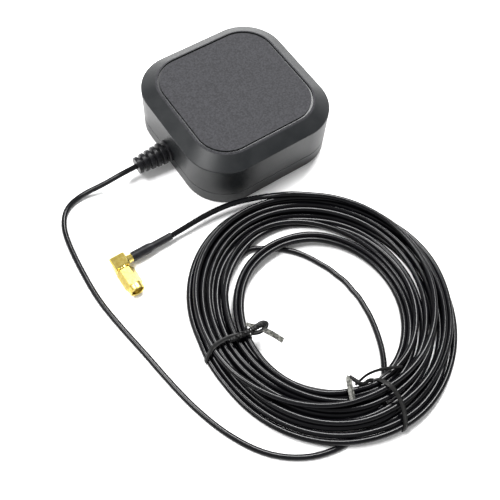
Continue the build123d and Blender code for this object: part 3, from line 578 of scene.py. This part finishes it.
def twisted_pair(name, points, turns, spread):
    """Two tie ends twisted round each other along given points."""
    middle = eased(points, steps=24)
    ahead = np.gradient(middle, axis=0)
    ahead /= np.linalg.norm(ahead, axis=1)[:, None]
    flat = np.cross(ahead, (0, 0, 1))
    flat /= np.linalg.norm(flat, axis=1)[:, None]
    steep = np.cross(ahead, flat)
    pieces = []
    for index, start in enumerate((0, pi)):
        phase = (start + np.linspace(0, 2 * pi * turns, len(middle)))[:, None]
        out = flat * np.cos(phase) + steep * np.sin(phase)
        across = np.cross(ahead, out)
        pieces.append(ribbon(f"{name}_{index + 1}", middle + out * spread, across, TIE_BAND_WIDTH))
    return pieces


def tie_end(name, points, roll, width=TIE_BAND_WIDTH):
    """A loose end of a tie along given points, its flat side turned by roll degrees."""
    path = eased(points)
    ahead = np.gradient(path, axis=0)
    level = np.cross(ahead, (0, 0, 1))
    level /= np.linalg.norm(level, axis=1)[:, None]
    steep = np.cross(ahead / np.linalg.norm(ahead, axis=1)[:, None], level)
    return ribbon(name, path, level * cos(radians(roll)) + steep * sin(radians(roll)), width)


def tie_finish(name, low, high, speck, depth):
    """The ties' coating: black and smooth, or a lighter speckled grey that is painted sheen."""
    finish = Finish(name, Specular_IOR_Level=0.25)
    fine = finish.place.noise(speck, 3.0, 0.7)
    finish.set("Base Color", fine.between(0.38, 0.62).colours(low, high))
    finish.set("Roughness", 0.34 + 0.25 * fine)
    finish.bump(fine, depth)
    return finish


tie_coating = tie_finish(
    "tie_coating", (0.001, 0.001, 0.001, 1), (0.005, 0.005, 0.005, 1),
    speck=0.5 * MM, depth=0.03 * MM,
)
# Painted sheen: the flat tips get a lighter speckled grey for the light their faces catch
tie_tip_sheen = tie_finish(
    "tie_tip_sheen", (0.012, 0.012, 0.010, 1), (0.14, 0.14, 0.125, 1),
    speck=1.1 * MM, depth=0.06 * MM,
)

# The left tie: its band, and listed points in mm for its twist, loop and two tips
left_band = tie_band("left_tie_band", TIE_ANGLES[0], lean=-3.6)
LEFT_TWIST = (
    (-73.2, -107.6, 10.2), (-67.5, -108.4, 10.8), (-61.0, -108.9, 10.4), (-54.8, -109.0, 9.6),
)
left_twist = twisted_pair("left_tie_twist", LEFT_TWIST, turns=2.6, spread=0.85)
LEFT_LOOP = (
    (-63.0, -109.8, 9.6), (-60.0, -111.4, 9.4), (-56.2, -111.4, 9.0),
    (-53.2, -109.6, 9.4), (-55.6, -107.8, 10.4), (-60.0, -108.4, 10.8),
)
LEFT_FLAT = (
    (-57.4, -110.4, 9.2), (-55.8, -113.0, 8.8), (-53.6, -116.2, 7.6), (-51.6, -120.0, 6.2),
)
LEFT_THIN = (
    (-56.4, -109.3, 9.2), (-59.1, -108.0, 9.2), (-61.2, -106.2, 9.6), (-62.3, -104.6, 9.4),
)
left_ends = [
    tie_end("left_tie_loop", LEFT_LOOP, roll=30),
    tie_end("left_tie_end_1", LEFT_FLAT, roll=-10, width=2.8),
    tie_end("left_tie_end_2", LEFT_THIN, roll=10),
]
# The right tie, with a long arched tip, a flat one in the painted-sheen grey and a small knob
right_band = tie_band("right_tie_band", TIE_ANGLES[1], lean=4.4)
RIGHT_TWIST = ((-37.4, -151.8, 10.2), (-36.4, -154.2, 10.2), (-35.6, -156.6, 10.0))
right_twist = twisted_pair("right_tie_twist", RIGHT_TWIST, turns=1.2, spread=0.6)
RIGHT_ARC = (
    (-37.4, -156.0, 9.6), (-33.6, -155.4, 10.4), (-30.1, -155.2, 11.0),
    (-25.1, -156.2, 11.2), (-19.0, -158.7, 10.8), (-14.3, -161.0, 9.8),
)
RIGHT_FLAT = (
    (-37.4, -151.6, 10.2), (-38.6, -152.0, 10.6), (-40.8, -156.4, 10.8), (-43.2, -161.2, 10.4),
)
RIGHT_KNOB = (
    (-35.7, -156.5, 10.0), (-34.0, -157.9, 9.6), (-31.4, -157.6, 10.8), (-29.6, -158.8, 10.6),
)
right_ends = [
    tie_end("right_tie_end_1", RIGHT_ARC, roll=60, width=1.5),
    tie_end("right_tie_end_2", RIGHT_FLAT, roll=0, width=2.6),
    tie_end("right_tie_knob", RIGHT_KNOB, roll=50),
]


def dress_tie(node, pieces, sheen_pieces):
    """Let the pieces of one tie stand for its plain node."""
    tie_coating.wear(*pieces)
    tie_tip_sheen.wear(*sheen_pieces)
    for piece in pieces:
        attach(piece, "antenna")
        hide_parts(node)


left_pieces = [left_band, *left_twist, *left_ends]
right_pieces = [right_band, *right_twist, *right_ends]
# The flat tips get the lighter grey of the painted sheen
dress_tie("twist_tie_left", left_pieces, left_ends[1:])
dress_tie("twist_tie_right", right_pieces, right_ends[1:2])

# Sleeve: a length of black plastic tubing, shrunk by heat over the crimp and the end of the
# lead, so that it shows the step between the two.
sleeve_plastic = plain_finish(
    "sleeve_plastic", (0.003, 0.003, 0.004, 1), (0.008, 0.008, 0.010, 1),
    spot=2 * MM, roughness=0.40, spread=0.2, depth=0.03 * MM, Specular_IOR_Level=0.22,
)
sleeve_plastic.wear("heat_shrink_sleeve")

# Plug: an angle and its running nut, turned and milled from brass and gold-plated, with a gold
# pin in a white insulator. A bronze ring snapped into its groove holds the nut, and a silicone
# gasket lies behind it.
GOLD_DEEP = (0.64, 0.48, 0.11, 1.0)
GOLD_PALE = (0.78, 0.64, 0.20, 1.0)


def gold_finish(name, roughness, spread, depth):
    """Gold plate, brighter or more satin, with faint clouding."""
    finish = Finish(name, Metallic=1.0)
    cloud = finish.place.noise(1.6 * MM, 3.0, 0.6)
    fine = finish.place.noise(0.25 * MM, 2.0, 0.6)
    finish.set("Base Color", cloud.between(0.25, 0.75).colours(GOLD_DEEP, GOLD_PALE))
    finish.set("Roughness", roughness + spread * fine)
    finish.bump(fine, depth)
    return finish


gold_body = gold_finish("gold_body", roughness=0.12, spread=0.08, depth=0.004 * MM)
gold_body.wear("connector_body", "rear_cap", "crimp_ferrule")
gold_nut = gold_finish("gold_nut", roughness=0.24, spread=0.12, depth=0.005 * MM)
gold_nut.wear("coupling_nut", "center_pin")
spring_bronze = plain_finish(
    "spring_bronze", (0.6, 0.38, 0.2, 1), (0.75, 0.5, 0.28, 1),
    spot=1 * MM, roughness=0.3, spread=0.2, depth=0.005 * MM, Metallic=1.0,
)
spring_bronze.wear("retaining_ring")
gasket_silicone = plain_finish(
    "gasket_silicone", (0.4, 0.06, 0.03, 1), (0.5, 0.09, 0.05, 1),
    spot=1 * MM, roughness=0.55, spread=0.1, depth=0.01 * MM,
)
gasket_silicone.wear("nut_gasket")
white_insulator = plain_finish(
    "white_insulator", (0.78, 0.78, 0.76, 1), (0.86, 0.86, 0.84, 1),
    spot=1 * MM, roughness=0.4, spread=0.1, depth=0.005 * MM,
)
white_insulator.wear("connector_insulator")

# Stage: a sheet of white paper far wider than the object, lit by two soft square lamps from
# above and by the room round it.
FLOOR_SIZE = 30.0
# The paper lies just under the object's faces, so that the two never share a plane
FLOOR_DROP = 0.03 * MM
FLOOR_WHITE = (0.95, 0.95, 0.95, 1.0)
floor_mesh = bpy.data.meshes.new("floor")
half = FLOOR_SIZE / 2
floor_corners = [(-half, -half, 0), (half, -half, 0), (half, half, 0), (-half, half, 0)]
floor_mesh.from_pydata(floor_corners, [], [(0, 1, 2, 3)])
floor = bpy.data.objects.new("floor", floor_mesh)
floor.location.z = -FLOOR_DROP
bpy.context.scene.collection.objects.link(floor)
floor_paper = Finish("floor_paper", Roughness=0.6)
floor_fibre = floor_paper.place.noise(0.6 * MM, 2.0)
floor_paper.set("Base Color", floor_fibre.colours(FLOOR_WHITE, (0.93, 0.93, 0.93, 1.0)))
floor_paper.wear(floor)

# The room: a bright wall all round and a dim ceiling, with the sine of the elevation at which
# one passes into the other, and the strength of each
WALL_TOP = 0.27
CEILING_FROM = 0.42
WALL_STRENGTH = 1.5
CEILING_STRENGTH = 0.5
# Each lamp's name, place, side and power
LAMPS = (
    ("lamp_right", (0.50, 0.38, 1.05), 0.36, 23.0),
    ("lamp_left", (-0.43, 0.17, 1.03), 0.40, 13.5),
)
LAMP_AIM = Vector((-0.02, -0.08, 0.0))
world = bpy.data.worlds.new("studio")
world.use_nodes = True
sky = world.node_tree.nodes["Background"]
sky.inputs["Color"].default_value = (1, 1, 1, 1)
direction = Signal(world.node_tree).node("TexCoord", {}, {}, 0)
elevation = direction.node("SeparateXYZ", {}, {0: direction}, 2)
overhead = elevation.between(WALL_TOP, CEILING_FROM)
brightness = WALL_STRENGTH - (WALL_STRENGTH - CEILING_STRENGTH) * overhead
world.node_tree.links.new(brightness.socket, sky.inputs["Strength"])
bpy.context.scene.world = world
for name, place, size, power in LAMPS:
    lamp = bpy.data.lights.new(name, "AREA")
    lamp.shape = "SQUARE"
    lamp.size = size
    lamp.energy = power
    holder = bpy.data.objects.new(name, lamp)
    holder.location = place
    holder.rotation_euler = (LAMP_AIM - Vector(place)).to_track_quat("-Z", "Y").to_euler()
    bpy.context.scene.collection.objects.link(holder)

# The camera stands to the front left and well above the object, and is turned a little about
# its own line of sight
CAMERA_PLACE = (-0.14360, -0.20399, 0.32044)
CAMERA_AZIMUTH = radians(-38.678)
CAMERA_ELEVATION = radians(61.689)
CAMERA_ROLL = radians(5.355)
CAMERA_LENS = 51.69
camera = bpy.data.cameras.new("camera")
camera.lens = CAMERA_LENS
camera.sensor_width = 36.0
camera.clip_start = 0.01
viewer = bpy.data.objects.new("camera", camera)
bpy.context.scene.collection.objects.link(viewer)
back = Vector((
    sin(CAMERA_AZIMUTH) * cos(CAMERA_ELEVATION),
    -cos(CAMERA_AZIMUTH) * cos(CAMERA_ELEVATION),
    sin(CAMERA_ELEVATION),
))
level_right = Vector((cos(CAMERA_AZIMUTH), sin(CAMERA_AZIMUTH), 0))
level_up = back.cross(level_right)
right = cos(CAMERA_ROLL) * level_right + sin(CAMERA_ROLL) * level_up
up = cos(CAMERA_ROLL) * level_up - sin(CAMERA_ROLL) * level_right
turned = Matrix((right, up, back)).transposed()
viewer.matrix_world = Matrix.Translation(CAMERA_PLACE) @ turned.to_4x4()
bpy.context.scene.camera = viewer
bpy.context.scene.view_settings.view_transform = "Standard"
